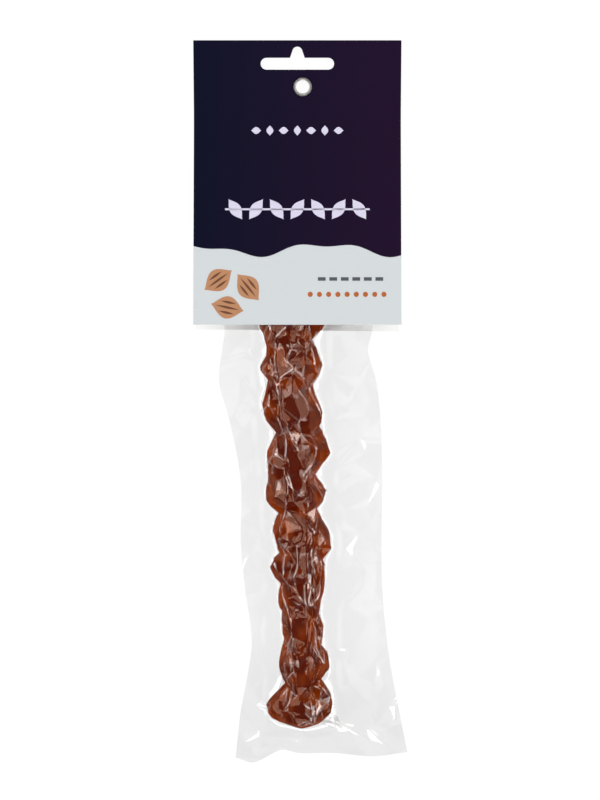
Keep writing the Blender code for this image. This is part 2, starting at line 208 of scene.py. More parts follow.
# Pouch, as in the CAD: distance up the pack, left edge and right edge; then its foot, by X
POUCH_EDGES = (
    (-159.0, -31.0, 47.8), (-140.0, -28.7, 44.1), (-122.0, -25.4, 40.6), (-105.0, -23.3, 38.0),
    (-81.5, -26.1, 35.8), (-60.0, -28.0, 35.2), (-30.0, -28.0, 35.3), (-3.0, -32.8, 34.4),
    (14.0, -37.3, 32.4), (28.5, -35.9, 28.6), (37.0, -34.7, 30.4), (60.0, -37.0, 32.5),
    (90.0, -39.0, 35.5), (149.0, -39.5, 36.5),
)
POUCH_FOOT = (
    (-31.0, -2.3), (-22.3, -4.3), (-10.0, 1.7), (-2.0, 0.1), (14.0, 0.1), (32.0, -1.6), (47.8, 0.4),
)
FOOT_FADE = 22.0
FILM_SEAM_LEVEL = 12.0
FILM_SHARE_OF_RISE = 0.44
FILM_MIDDLE = 1.7
OPEN_FADE = 20.0  # along the pack, from between the panels to beside the food
# Loose margins, which droop and ripple less than the CAD's
EDGE_DROOP = 1.0
DROOP_FROM = 10.0  # beside the string
DROOP_REACH = 24.0
DROOP_RANGE = (70.0, 50.0)  # from the fold, and over which length it comes in
FOOT_DROOP = 0.8
FOOT_RANGE = (4.0, 18.0)  # above the food's end, and over which length it comes in
RIGHT_AHEAD = 1.7  # by which the right margin's ripples run ahead
# Height, length along the pack, lean to the side, start
RIPPLES = ((0.16, 47.0, 0.35, 0.4), (0.1, 29.0, -0.8, 2.1), (0.05, 17.0, 1.3, 4.0))

# Facets and straight creases of the loose margins
FACETS_Y = (-171.0, 68.0)
FACETS_X = (-46.0, 58.0)
FACET_SPACING = 8.5
FACET_JITTER = 0.45  # of the spacing
FACET_LIFT = (0.0, 1.0)
CREASE_COUNT = 46
CREASE_HALF_LENGTH = (4.0, 11.0)
CREASE_LIFT = (0.25, 0.6)
CREASE_SPREAD = 0.8  # radians from the pack's length
FAN_COUNT = 17  # creases that fan out from the food's lower end
FAN_CENTRE = (-1.0, -141.0)
FAN_FROM = 13.0
FAN_LENGTH = (6.0, 17.0)
FAN_LIFT = (0.15, 0.35)
FAN_MIDDLE = 0.6  # of its lift
FAN_TURNS = (95.0, 170.0)  # degrees from +Y, the first and the spread
FAN_JITTER = 0.3  # of the step from one to the next
MARGIN_FROM = 15.0  # beside the string
MARGIN_FADE = 4.0
MARGIN_TOP_FADE = 8.0

# Film that is sucked onto the food
FLAT_WIDTH = 75.5  # of the pouch before it was filled
LENGTH_SLACK = 1.045
FOOD_COVER = 21.0  # half width of the film that goes over the food
COVER_EDGE = 1.5  # of that, where it ends
SLACK_TOP = 66.0
SLACK_BELOW = 5.0  # the food's lower end
SLACK_FADE = 14.0
NARROWING = 1.4  # of the cells over the food
START_HUMP = (13.0, 14.5)  # half width and height of the film at the start
WOBBLE = 0.6  # cells
WOBBLE_STRIDE = 3
LENGTH_PASSES = 3
KEEP_LENGTH = (1.0, 0.6)  # against stretch and against squeeze
KEEP_DIAGONAL = (0.5, 0.3)
SHEET_GAP = 0.1  # from the seam's middle to each layer
CLEARANCE = 0.1  # between the food and the film, at least
PANEL_CLEARANCE = 0.25
BACK_LEVELS = (0.75, 0.05)  # least height of the film over the back panel and below it
NEAR_STRING = 22.0
LEAST_REACH = 0.5
SLOPE_LIMITS = (2.5, 1.5)
SNAP = (1.6, 0.8)  # distance from the facets in which the film is put on them, and its fade
# Cell in mm, steps, push per step in cells, stiffness against bending
PRESS_STAGES = ((2.4, 60, 0.12, 0.4), (1.2, 60, 0.12, 0.5), (0.7, 60, 0.12, 0.5))
KNOB_Y = -139.0  # middle of the food's thick lower end, with its half width and its reach below that
KNOB_REACH = (16.8, 7.5)
KNOB_EDGE = (1.1, 0.35)  # of that reach, where the film begins to lie flat, and the fade
BESIDE_EDGE = (16.0, 5.0)  # the same beside the string
CALM_TOP = (24.0, 8.0)  # above the food's lower end, and the fade
CALM_SHARE = 0.9
SMOOTHING = 6  # passes that take the simulated film's wrinkles out, before the sharp folds go in
OPEN_TOP = 48.0  # the card covers the film above this, with rows further apart
OPEN_ROWS = 0.93
LIFTED_FROM = 0.7  # distance of the film from the food at which air shows under it
STEEP_BELOW = 0.82  # upward part of the normal of film that stands beside the food
COVER_GAP = 5.0  # distance of the film from the food, up to which it counts as over it
FILMS = (  # name, share of light reflected, roughness, share let through, tint of the reflection
    ("loose_film", 0.08, 0.06, 0.995, (1.0, 1.0, 1.0)),
    ("stuck_film", 0.036, 0.04, 0.995, (1.0, 0.62, 0.45)),
    ("lifted_film", 0.076, 0.06, 0.995, (1.0, 0.8, 0.69)),
    # The crest film is a painted highlight: a shinier, rougher copy of the film on the crests of folds
    ("crest_highlight_film", 0.18, 0.2, 0.995, (1.0, 0.88, 0.82)),
    ("steep_film", 0.03, 0.1, 0.915, (1.0, 0.85, 0.78)),
)
FOOT_SHARE = 0.96  # of the light let through, at the pouch's foot, after a soft change
FOOT_CHANGE = (-150.0, -95.0)
FILM_ROWS = 524
FILM_COLUMNS = 184


def ease(value):
    t = np.clip(value, 0.0, 1.0)
    return t * t * (3.0 - 2.0 * t)


def between_values(t, first, last, slope_in, slope_out):
    """A smooth curve from the first value to the last, with these slopes at its ends."""
    return (
        first * (2 * t**3 - 3 * t**2 + 1)
        + slope_in * (t**3 - 2 * t**2 + t)
        + last * (3 * t**2 - 2 * t**3)
        + slope_out * (t**3 - t**2)
    )


def along(stations, position, column):
    """A column of a table of stations, joined by a smooth curve through them."""
    table = np.array(stations)
    place = np.clip(position, table[0, 0], table[-1, 0])
    start = np.clip(np.searchsorted(table[:, 0], place, side="right") - 1, 0, len(table) - 2)
    end = start + 1
    before = np.maximum(start - 1, 0)
    after = np.minimum(end + 1, len(table) - 1)
    at, value = table[:, 0], table[:, column]
    span = at[end] - at[start]
    slope_in = (value[end] - value[before]) / (at[end] - at[before]) * span
    slope_out = (value[after] - value[start]) / (at[after] - at[start]) * span
    return between_values((place - at[start]) / span, value[start], value[end], slope_in, slope_out)


# The food's surface


def string_x(y):
    lean = ease((y - STRING_Y - LEAN_FROM) / (LEAN_TO - LEAN_FROM))
    return STRING_X_LOWER + (STRING_X_UPPER - STRING_X_LOWER) * lean


def on_string(distance, angle, radius):
    """Places round the string."""
    y = STRING_Y + distance
    x = string_x(y) + radius * np.cos(angle)
    return np.stack([x, y, STRING_Z + radius * np.sin(angle)], axis=-1)


def about_string(points):
    """The distance of points along the string, their offsets from it, and how far off it they are."""
    dx = points[..., 0] - string_x(points[..., 1])
    dz = points[..., 2] - STRING_Z
    return points[..., 1] - STRING_Y, dx, dz, np.hypot(dx, dz)


def reach_of(tree, unit, rings, sides):
    """How far a closed surface reaches from the string, over a table."""
    radii = np.zeros((rings, sides))
    for ring in range(1, rings - 1):
        y = STRING_Y + STRING_LENGTH * ring / (rings - 1)
        centre = Vector((string_x(y), y, STRING_Z)) * unit
        for side in range(sides):
            turn = 2 * math.pi * side / sides
            hit = tree.ray_cast(centre, Vector((math.cos(turn), 0.0, math.sin(turn))))
            if hit[0] is not None:
                radii[ring, side] = hit[3] / unit
    return radii


def cad_radii():
    tree = BVHTree.FromObject(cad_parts["churchkhela"], bpy.context.evaluated_depsgraph_get())
    return resample(reach_of(tree, MM, *CAD_TABLE))


def resample(coarse):
    """A table at the full resolution; the direction wraps round."""
    rings, sides = coarse.shape
    row = np.linspace(0, rings - 1, RINGS)
    column = np.arange(SIDES) * sides / SIDES
    i = np.minimum(row.astype(int), rings - 2)
    j = column.astype(int)
    u = (row - i)[:, None]
    v = (column - j)[None, :]
    closed = np.concatenate([coarse, coarse[:, :1]], axis=1)
    upper = closed[i][:, j] * (1 - v) + closed[i][:, j + 1] * v
    lower = closed[i + 1][:, j] * (1 - v) + closed[i + 1][:, j + 1] * v
    return upper * (1 - u) + lower * u


def blur(table, passes):
    for _ in range(passes):
        wide = np.roll(table, 1, 1) + np.roll(table, -1, 1)
        tall = np.concatenate([table[:1], table[:-1]]) + np.concatenate([table[1:], table[-1:]])
        table = (2 * table + wide + tall) / 6
    return table


def raise_ridge(relief, place, turn, half, width, slope):
    """Adds a straight ridge with a sharp crest, highest at its place and fading to its two ends."""
    step_s, step_a = RING_STEP, AROUND / SIDES
    at_s, at_a = place
    reach = half + width
    first, last = int((at_s - reach) / step_s), int((at_s + reach) / step_s) + 2
    rows = np.arange(max(0, first), min(RINGS, last))
    columns = np.arange(int((at_a - reach) / step_a) - 1, int((at_a + reach) / step_a) + 2)
    ds = (rows * step_s - at_s)[:, None]
    da = (columns * step_a - at_a)[None, :]
    lengthwise = ds * math.cos(turn) + da * math.sin(turn)
    crosswise = -ds * math.sin(turn) + da * math.cos(turn)
    share = np.abs(lengthwise) / half
    raised = slope * width * np.clip(1.0 - np.abs(crosswise) / width - share**1.5, 0.0, 1.0)
    target = np.ix_(rows, columns % SIDES)
    relief[target] = np.maximum(relief[target], raised)


def random_place(draw, reach=STRING_LENGTH):
    return draw.uniform(0, reach), draw.uniform(0, AROUND)


def crags(draw):
    """Ridges and points of the broken nuts, in random directions all over the food."""
    relief = np.zeros((RINGS, SIDES))
    for i in range(CRAG_COUNT + END_COUNT):
        place = random_place(draw, STRING_LENGTH if i < CRAG_COUNT else END_LENGTH)
        half = draw.uniform(*CRAG_HALF_LENGTH) + 1.0
        width, slope = draw.uniform(*CRAG_HALF_WIDTH), draw.uniform(*CRAG_SLOPE)
        raise_ridge(relief, place, draw.uniform(0, math.pi), half, width, slope)
    return relief


class Folds:
    """Places on the unrolled food, the film's lift at each, and the sharp lines between them."""

    def __init__(self):
        self.places, self.lifts, self.lines = [], [], []
        # Lines whose crests get a painted highlight, with the cells to each side that get it too
        self.crest_highlight_lines = []

    def add(self, distance, arc, lift):
        inside = min(max(distance, RIM_DISTANCE), STRING_LENGTH - RIM_DISTANCE)
        self.places.append((inside, arc))
        self.lifts.append(lift)
        return len(self.places) - 1

    def add_low(self, draw, s, a, length, turn):
        lift = draw.uniform(*LOW_LIFT)
        return self.add(s + length * math.cos(turn), a + length * math.sin(turn), lift)

    def add_star(self, draw, reach):
        s, a = random_place(draw, reach)
        centre = self.add(s, a, draw.uniform(*STAR_LIFT))
        arms = int(draw.integers(*STAR_ARMS))
        start = draw.uniform(0, 2 * math.pi)
        for arm in range(arms):
            turn = start + 2 * math.pi * (arm + draw.uniform(-ARM_JITTER, ARM_JITTER)) / arms
            tip = self.add_low(draw, s, a, draw.uniform(*ARM_LENGTH), turn)
            self.lines.append((centre, tip))
            cells = int(draw.integers(*ARM_CELLS))
            self.crest_highlight_lines.append((self.places[centre], self.places[tip], cells))
            self.add_low(draw, s, a, draw.uniform(*VALLEY_REACH), turn + math.pi / arms)

    def add_pleat(self, draw, stations):
        count = int((stations[-1][0] - stations[0][0]) / PLEAT_STEP)
        y = np.linspace(stations[0][0], stations[-1][0], count)
        arc = np.radians(np.interp(y, *np.array(stations).T)) * ARC_SCALE
        for aside in (0.0, -PLEAT_HALF_WIDTH, PLEAT_HALF_WIDTH):
            for i in range(count):
                crest = aside == 0.0 and 0 < i < count - 1
                lift = PLEAT_LIFT if crest else LOW_LIFT[0]
                here = self.add(y[i] - STRING_Y, arc[i] + aside, lift)
                if i > 0:
                    self.lines.append((here - 1, here))
                if i > 0 and aside == 0.0:
                    cells = int(draw.integers(*PLEAT_CELLS))
                    self.crest_highlight_lines.append((self.places[here - 1], self.places[here], cells))

    def unrolled(self):
        """The same with a strip of it repeated at both sides, as the food is round."""
        places, lifts, lines = [], [], []
        for turn in (-1, 0, 1):
            kept = {}
            for i, (s, a) in enumerate(self.places):
                if -UNROLLED_MARGIN < a + turn * AROUND < AROUND + UNROLLED_MARGIN:
                    kept[i] = len(places)
                    places.append(Vector((s, a + turn * AROUND)))
                    lifts.append(self.lifts[i])
            lines += [(kept[i], kept[j]) for i, j in self.lines if i in kept and j in kept]
        return places, lifts, lines


def add_rims(folds):
    """Places round both ends of the food."""
    for arc in np.linspace(0, AROUND, RIM_COUNT, endpoint=False):
        for distance in (RIM_DISTANCE, STRING_LENGTH - RIM_DISTANCE):
            folds.add(distance, arc, 0.0)


def film_folds(draw):
    folds = Folds()
    for i in range(STAR_COUNT + END_COUNT // 2):
        folds.add_star(draw, STRING_LENGTH if i < STAR_COUNT else END_LENGTH)
    for stations in PLEATS:
        folds.add_pleat(draw, stations)
    for _ in range(FILL_COUNT):
        folds.add(*random_place(draw), draw.uniform(*FILL_LIFT))
    add_rims(folds)
    return folds


def angular(base, draw):
    """The same form with flat facets between its peaks and hollows."""
    relief = np.abs(base - blur(base, FORM_PASSES))
    folds = Folds()
    for _ in range(PEAK_COUNT):
        row, column = int(draw.integers(RINGS)), int(draw.integers(SIDES))
        rows = np.arange(max(0, row - PEAK_SEARCH), min(RINGS, row + PEAK_SEARCH + 1))
        columns = np.arange(column - PEAK_SEARCH, column + PEAK_SEARCH + 1) % SIDES
        window = relief[np.ix_(rows, columns)]
        i, j = np.unravel_index(window.argmax(), window.shape)
        distance = STRING_LENGTH * rows[i] / (RINGS - 1)
        folds.add(distance, AROUND * columns[j] / SIDES, 0.0)
    add_rims(folds)
    share = ANGULAR_SHARE * ease(from_ends() / ANGULAR_END)
    return base + share * (faceted(base, folds) - base)


def painted_highlight_table(crest_highlight_lines):
    """Where the crests of folds get a painted highlight, a shinier film: 1 there and 0 elsewhere."""
    crest_highlights = np.zeros((RINGS, SIDES))
    share = np.linspace(0, 1, 80)
    for start, end, cells in crest_highlight_lines:
        if cells < 1:
            continue
        distance = np.clip(start[0] + share * (end[0] - start[0]), 0, STRING_LENGTH)
        turn = (start[1] + share * (end[1] - start[1])) / AROUND
        rows = np.rint(distance / STRING_LENGTH * (RINGS - 1)).astype(int)
        columns = np.rint(turn * SIDES).astype(int)
        for aside in range(-cells, cells + 1):
            crest_highlights[rows, (columns + aside) % SIDES] = 1.0
    return crest_highlights


def from_ends():
    """The distance to the food's nearer end, for each ring of a table."""
    distance = np.linspace(0, STRING_LENGTH, RINGS)[:, None]
    return np.minimum(distance, STRING_LENGTH - distance)


def facets(places, lifts, lines):
    """Flat facets between places, with these lines among their edges: corners, lifts and faces."""
    flat, _, faces, origins, _, _ = delaunay_2d_cdt(places, lines, [], 0, SAME_PLACE)
    return flat, [lifts[origin[0]] if origin else CROSSING_LIFT for origin in origins], faces


def faceted(base, folds):
    """How far flat facets through the places of folds reach from the string; 0 beyond them."""
    places, lifts, lines = folds.unrolled()
    flat, lift, faces = facets(places, lifts, lines)
    s, a = np.array([tuple(place) for place in flat]).T
    angle = a / ARC_SCALE
    (radius,) = sample((base,), s, angle)
    radius = radius + np.array(lift) * ease(np.minimum(s, STRING_LENGTH - s) / FOLD_END)
    tree = BVHTree.FromPolygons(on_string(s, angle, radius).tolist(), faces)
    return reach_of(tree, 1.0, RINGS, SIDES)


def crumpled(base, food_radii, folds):
    """How far the film reaches from the string, and the food under it, which gives way a little."""
    soft = FOOD_YIELD * ease(from_ends() / YIELD_END)
    film_radii = blur(np.maximum(faceted(base, folds), food_radii + CLEARANCE - soft), 1)
    return film_radii, np.minimum(food_radii, film_radii - CLEARANCE)


def sample(tables, distance, angle):
    """Values of tables at places on the food, between their entries."""
    row = np.clip(distance / STRING_LENGTH * (RINGS - 1), 0, RINGS - 1.001)
    column = (angle / (2 * math.pi) * SIDES) % SIDES
    i = row.astype(int)
    j = column.astype(int) % SIDES
    u = row - i
    v = column - np.floor(column)
    beside = (j + 1) % SIDES
    return [
        table[i, j] * (1 - u) * (1 - v)
        + table[i + 1, j] * u * (1 - v)
        + table[i, beside] * (1 - u) * v
        + table[i + 1, beside] * u * v
        for table in tables
    ]


# The pouch film


def front_rise(reach):
    slope = (FRONT_EDGE_HEIGHT - CARD_THICKNESS - FRONT_LIFT) / (
        FRONT_REACH - CLAMPED_REACH - FRONT_BEND / 2
    )
    bent = np.maximum(reach - CLAMPED_REACH, 0.0)
    bend = slope * bent * bent / (2 * FRONT_BEND)
    return np.where(bent < FRONT_BEND, bend, slope * (bent - FRONT_BEND / 2))


def seam_level(x, y):
    """Height at which the two layers meet: between the panels, beside the food, then sagging."""
    reach = FOLD_Y - y
    between = FILM_MIDDLE + FILM_SHARE_OF_RISE * front_rise(np.minimum(reach, FRONT_REACH))
    open_share = ease((reach - FRONT_REACH + OPEN_FADE / 2) / OPEN_FADE)
    level = between + (FILM_SEAM_LEVEL - between) * open_share
    aside = np.clip((np.abs(x - string_x(y)) - DROOP_FROM) / DROOP_REACH, 0.0, 1.0)
    level = level - EDGE_DROOP * aside * aside * ease((reach - DROOP_RANGE[0]) / DROOP_RANGE[1])
    level = level - FOOT_DROOP * ease((STRING_Y - y + FOOT_RANGE[0]) / FOOT_RANGE[1])
    for height, length, lean, start in RIPPLES:
        turn = 2 * math.pi * (y + lean * x) / length + start + np.where(x > 0, RIGHT_AHEAD, 0.0)
        level = level + height * np.sin(turn) * aside * open_share
    return level


class Surface:
    """The form that the film is pressed onto: its reach from the string, and the slopes of that."""

    def __init__(self, radii):
        self.radii = radii
        self.slope_s = np.gradient(radii, axis=0) / RING_STEP
        self.slope_a = (np.roll(radii, -1, 1) - np.roll(radii, 1, 1)) / (4 * math.pi / SIDES)

    def push_out(self, points, clearance):
        distance, dx, dz, rho = about_string(points)
        rho = np.maximum(rho, LEAST_REACH)
        near = (distance > 0) & (distance < STRING_LENGTH) & (rho < NEAR_STRING)
        angle = np.arctan2(dz, dx)[near]
        tables = (self.radii, self.slope_s, self.slope_a)
        radius, slope_s, slope_a = sample(tables, distance[near], angle)
        missing = radius + clearance - rho[near]
        inside = missing > 0
        rows, columns = (index[inside] for index in np.nonzero(near))
        angle, missing = angle[inside], missing[inside]
        slope_s = np.clip(slope_s[inside], -SLOPE_LIMITS[0], SLOPE_LIMITS[0])
        slope_a = np.clip(slope_a[inside] / rho[near][inside], -SLOPE_LIMITS[1], SLOPE_LIMITS[1])
        move = missing / (1 + slope_s**2 + slope_a**2)
        cos, sin = np.cos(angle), np.sin(angle)
        points[rows, columns, 0] += move * (cos + slope_a * sin)
        points[rows, columns, 1] -= move * slope_s
        points[rows, columns, 2] += move * (sin - slope_a * cos)


def hold_between(points, side):
    """Each layer stays on its own side of the seam, under the front panel and above the surface."""
    x, y, z = points[..., 0], points[..., 1], points[..., 2]
    seam = seam_level(x, y)
    if side > 0:
        panel = FRONT_LIFT + front_rise(FOLD_Y - y) - PANEL_CLEARANCE
        z = np.maximum(z, seam + SHEET_GAP)
        z = np.where(y > FOLD_Y - FRONT_REACH - 0.5, np.minimum(z, panel), z)
    else:
        z = np.minimum(z, seam - SHEET_GAP)
        z = np.maximum(z, np.where(y > FOLD_Y - BACK_REACH - 1.5, *BACK_LEVELS))
    points[..., 2] = z


def pull_together(a, b, rest, against_stretch, against_squeeze):
    """Moves pairs of points towards their distance at rest."""
    apart = b - a
    length = np.sqrt((apart * apart).sum(-1)) + 1e-9
    excess = (length - rest) / length
    share = np.where(excess > 0, against_stretch, against_squeeze) * 0.5
    move = (share * excess)[..., None] * apart
    a += move
    b -= move


def pairs(count, stride, colours):
    """Index slices of pairs that share no point, one for each colour."""
    for colour in range(colours):
        last = np.arange(colour, count - stride, colours)[-1] + 1
        yield slice(colour, last, colours), slice(colour + stride, last + stride, colours)


def settle_lengths(points, rest_u, rest_v, rest_d, bending):
    rows, columns = points.shape[:2]
    for a, b in pairs(columns, 1, 2):
        pull_together(points[:, a], points[:, b], rest_u[:, a], *KEEP_LENGTH)
    for a, b in pairs(rows, 1, 2):
        pull_together(points[a], points[b], rest_v[a], *KEEP_LENGTH)
    for a, b in pairs(rows, 1, 2):
        pull_together(points[a, :-1], points[b, 1:], rest_d[a], *KEEP_DIAGONAL)
        pull_together(points[a, 1:], points[b, :-1], rest_d[a], *KEEP_DIAGONAL)
    for a, b in pairs(columns, 2, 4):
        pull_together(points[:, a], points[:, b], 2 * rest_u[:, a], 0.0, bending)
    for a, b in pairs(rows, 2, 4):
        pull_together(points[a], points[b], 2 * rest_v[a], 0.0, bending)


def sheet_normals(points):
    du = np.gradient(points, axis=1)
    dv = np.gradient(points, axis=0)
    normal = np.cross(du, dv)
    return normal / (np.linalg.norm(normal, axis=-1, keepdims=True) + 1e-9)


def finer(grid, rows, columns):
    """The same grid with more cells, on smooth curves through its points."""
    for axis, count in ((0, rows), (1, columns)):
        grid = np.moveaxis(grid, axis, 0)
        last = grid.shape[0] - 1
        place = np.linspace(0, last, count + 1)
        index = np.minimum(place.astype(int), last - 1)
        t = (place - index).reshape((-1,) + (1,) * (grid.ndim - 1))
        here, there = grid[index], grid[index + 1]
        slope_in = (there - grid[np.maximum(index - 1, 0)]) / 2
        slope_out = (grid[np.minimum(index + 2, last)] - here) / 2
        grid = np.moveaxis(between_values(t, here, there, slope_in, slope_out), 0, axis)
    return grid


def flat_layer(rows, columns):
    """One layer with nothing in the pouch, and the lengths that its cells have across and along.

    The slack is in the middle, over the food, and the cells are narrower there.
    """
    lower, upper = POUCH_EDGES[0][0], POUCH_EDGES[-1][0]
    y = np.interp(np.linspace(0, 1, rows + 1), (0.0, OPEN_ROWS, 1.0), (lower, OPEN_TOP, upper))
    left, right = along(POUCH_EDGES, y, 1), along(POUCH_EDGES, y, 2)
    width = (right - left)[:, None]
    share = ease((y - STRING_Y + SLACK_BELOW) / SLACK_FADE) * ease((SLACK_TOP - y) / SLACK_FADE)
    share = share[:, None]
    middle = left[:, None] + width * (np.arange(columns) + 0.5)[None, :] / columns
    over = ease(COVER_EDGE - np.abs(middle - string_x(y)[:, None]) / FOOD_COVER) * share
    narrow = 1.0 / (1.0 + NARROWING * over)
    cell = width * narrow / narrow.sum(axis=1, keepdims=True)
    slack = np.maximum(FLAT_WIDTH - width, 0.0) * share
    rest = cell + slack * cell * over / np.maximum((cell * over).sum(axis=1, keepdims=True), 1e-6)
    x = left[:, None] + np.concatenate([np.zeros_like(width), np.cumsum(cell, axis=1)], axis=1)
    y = np.repeat(y[:, None], columns + 1, axis=1)
    y = y + along(POUCH_FOOT, x, 1) * ease(1.0 - (y - lower) / FOOT_FADE)
    flat = np.stack([x, y, seam_level(x, y)], axis=-1)
    over = ease(COVER_EDGE - np.abs(x - string_x(y)) / FOOD_COVER) * share
    tall = np.linalg.norm(np.diff(flat, axis=0), axis=-1)
    return flat, over, rest, tall * (1.0 + (LENGTH_SLACK - 1.0) * over[:-1])


def margin_folds(draw):
    """The loose film's facets and straight creases, as a surface to look up; both layers share it."""
    places, lifts, lines = [], [], []

    def add(x, y, lift):
        places.append(Vector((x, y)))
        lifts.append(lift)

    def add_crease(x, y, turn, length, start_lift, middle_lift):
        for share, lift in ((0.0, start_lift), (0.5, middle_lift), (1.0, 0.0)):
            add(x + share * length * math.sin(turn), y + share * length * math.cos(turn), lift)
        lines.extend([(len(places) - 3, len(places) - 2), (len(places) - 2, len(places) - 1)])

    jitter = FACET_JITTER * FACET_SPACING
    for y in np.arange(*FACETS_Y, FACET_SPACING):
        for x in np.arange(*FACETS_X, FACET_SPACING):
            at_x = x + draw.uniform(-jitter, jitter)
            at_y = y + draw.uniform(-jitter, jitter)
            add(at_x, at_y, draw.uniform(*FACET_LIFT))
    for _ in range(CREASE_COUNT):
        at_y = draw.uniform(POUCH_EDGES[0][0], OPEN_TOP)
        at_x = draw.uniform(along(POUCH_EDGES, at_y, 1), along(POUCH_EDGES, at_y, 2))
        length = 2 * draw.uniform(*CREASE_HALF_LENGTH)
        turn = draw.normal(0.0, CREASE_SPREAD)
        add_crease(at_x, at_y, turn, length, 0.0, draw.uniform(*CREASE_LIFT))
    for i in range(FAN_COUNT):
        step = i + draw.uniform(-FAN_JITTER, FAN_JITTER)
        turn = math.radians(FAN_TURNS[0] + FAN_TURNS[1] * step / FAN_COUNT)
        x = FAN_CENTRE[0] + FAN_FROM * math.sin(turn)
        y = FAN_CENTRE[1] + FAN_FROM * math.cos(turn)
        lift = draw.uniform(*FAN_LIFT)
        add_crease(x, y, turn, draw.uniform(*FAN_LENGTH), lift, FAN_MIDDLE * lift)
    flat, lift, faces = facets(places, lifts, lines)
    corners = [(place.x, place.y, height) for place, height in zip(flat, lift)]
    return BVHTree.FromPolygons(corners, faces)


def margin_level(x, y, folds):
    """How far the loose film lies above its seam's level; nothing over the food."""
    aside = ease((np.abs(x - string_x(y)) - MARGIN_FROM) / MARGIN_FADE)
    below = ease((STRING_Y - 1.0 - y) / MARGIN_FADE)
    share = np.maximum(aside, below) * ease((OPEN_TOP + MARGIN_TOP_FADE - y) / MARGIN_TOP_FADE)
    level = np.zeros_like(x)
    down = Vector((0, 0, -1))
    for i, j in zip(*np.nonzero(share > 0)):
        hit = folds.ray_cast(Vector((x[i, j], y[i, j], ABOVE_FOLDS)), down)
        if hit[0] is not None:
            level[i, j] = hit[0].z
    return level * share


def lay_down(points, surface):
    """Puts the film exactly on its facets where it is near them."""
    distance, dx, dz, rho = about_string(points)
    rho = np.maximum(rho, LEAST_REACH)
    (radius,) = sample((surface.radii,), distance, np.arctan2(dz, dx))
    inside = (distance > 0.5) & (distance < STRING_LENGTH - 0.5)
    share = (radius - rho) * ease((radius + SNAP[0] - rho) / SNAP[1]) * inside / rho
    points[..., 0] += share * dx
    points[..., 2] += share * dz


def sort_film(points, food_radii, crest_highlights):
    """The material of each cell.

    0 loose, 1 stuck to the food, 2 lifted off it, 3 the crest of a fold, with a painted highlight, 4
    steep beside the food.
    """
    distance, dx, dz, rho = about_string(points)
    radius, crest = sample((food_radii, crest_highlights), distance, np.arctan2(dz, dx))
    upward = np.abs(sheet_normals(points)[..., 2])
    from_top = STRING_LENGTH - distance
    corners = np.stack([rho - radius, np.abs(dx) - radius, distance, from_top, crest, upward])
    gap, outside, from_foot, from_top, crest, upward = (
        corners[:, :-1, :-1] + corners[:, :-1, 1:] + corners[:, 1:, :-1] + corners[:, 1:, 1:]
    ) / 4
    over_food = (from_foot > 0.0) & (from_top > 0.0) & (gap < COVER_GAP) & (outside < 0.0)
    kind = np.where(gap > LIFTED_FROM, 2, 1)
    # Painted highlight on the crests of folds
    kind = np.where(crest > CREST_SHARE, 3, kind)
    return np.where(over_food, kind, np.where(upward < STEEP_BELOW, 4, 0))


def press_layer(surface, folds, side, seed):
    """One layer of film: pressed onto the food, smoothed, and laid on its sharp folds."""
    draw = np.random.default_rng(seed)
    points = None
    for cell, steps, push, bending in PRESS_STAGES:
        columns = int(round(FLAT_WIDTH / cell))
        rows = int(round((OPEN_TOP - POUCH_EDGES[0][0]) / OPEN_ROWS / cell))
        flat, over, rest_u, rest_v = flat_layer(rows, columns)
        flat[..., 2] += side * SHEET_GAP
        rest_d = np.sqrt(rest_u[:-1] ** 2 + rest_v[:, :-1] ** 2)
        if points is None:
            points = flat.copy()
            hump = np.exp(-(((flat[..., 0] - string_x(flat[..., 1])) / START_HUMP[0]) ** 2))
            points[..., 2] += side * START_HUMP[1] * hump * over
        else:
            points = finer(points, rows, columns)
        wobble = draw.normal(size=points.shape[:2])[::WOBBLE_STRIDE, ::WOBBLE_STRIDE]
        points[..., 2] += side * np.abs(finer(wobble, rows, columns)) * over * cell * WOBBLE
        for _ in range(steps):
            points -= side * push * cell * sheet_normals(points)
            for _ in range(LENGTH_PASSES):
                settle_lengths(points, rest_u, rest_v, rest_d, bending)
                points[0], points[-1] = flat[0], flat[-1]
                points[:, 0], points[:, -1] = flat[:, 0], flat[:, -1]
                surface.push_out(points, SHEET_GAP / 2)
                hold_between(points, side)
    for _ in range(SMOOTHING):
        beside = points[1:-1, :-2] + points[1:-1, 2:] + points[:-2, 1:-1] + points[2:, 1:-1]
        points[1:-1, 1:-1] = points[1:-1, 1:-1] / 2 + beside / 8
    points = finer(points, FILM_ROWS, FILM_COLUMNS)
    surface.push_out(points, 0.0)
    lay_down(points, surface)
    aside = np.abs(points[..., 0] - string_x(points[..., 1]))
    below = np.maximum(KNOB_Y - points[..., 1], 0.0)
    outside = np.hypot(aside / KNOB_REACH[0], below / KNOB_REACH[1])
    outside = ease((outside - KNOB_EDGE[0]) / KNOB_EDGE[1])
    outside = np.maximum(outside, ease((aside - BESIDE_EDGE[0]) / BESIDE_EDGE[1]))
    calm = CALM_SHARE * outside * ease((STRING_Y + CALM_TOP[0] - points[..., 1]) / CALM_TOP[1])
    points += (finer(flat, FILM_ROWS, FILM_COLUMNS) - points) * calm[..., None]
    hold_between(points, side)
    points[..., 2] += margin_level(points[..., 0], points[..., 1], folds)
    return points


# Meshes


def place_object(name, data):
    placed = bpy.data.objects.new(name, data)
    bpy.context.scene.collection.objects.link(placed)
    return placed


def new_object(name, mesh, material, body="root"):
    piece = place_object(name, mesh)
    mesh.materials.append(material)
    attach(piece, body)
    return piece


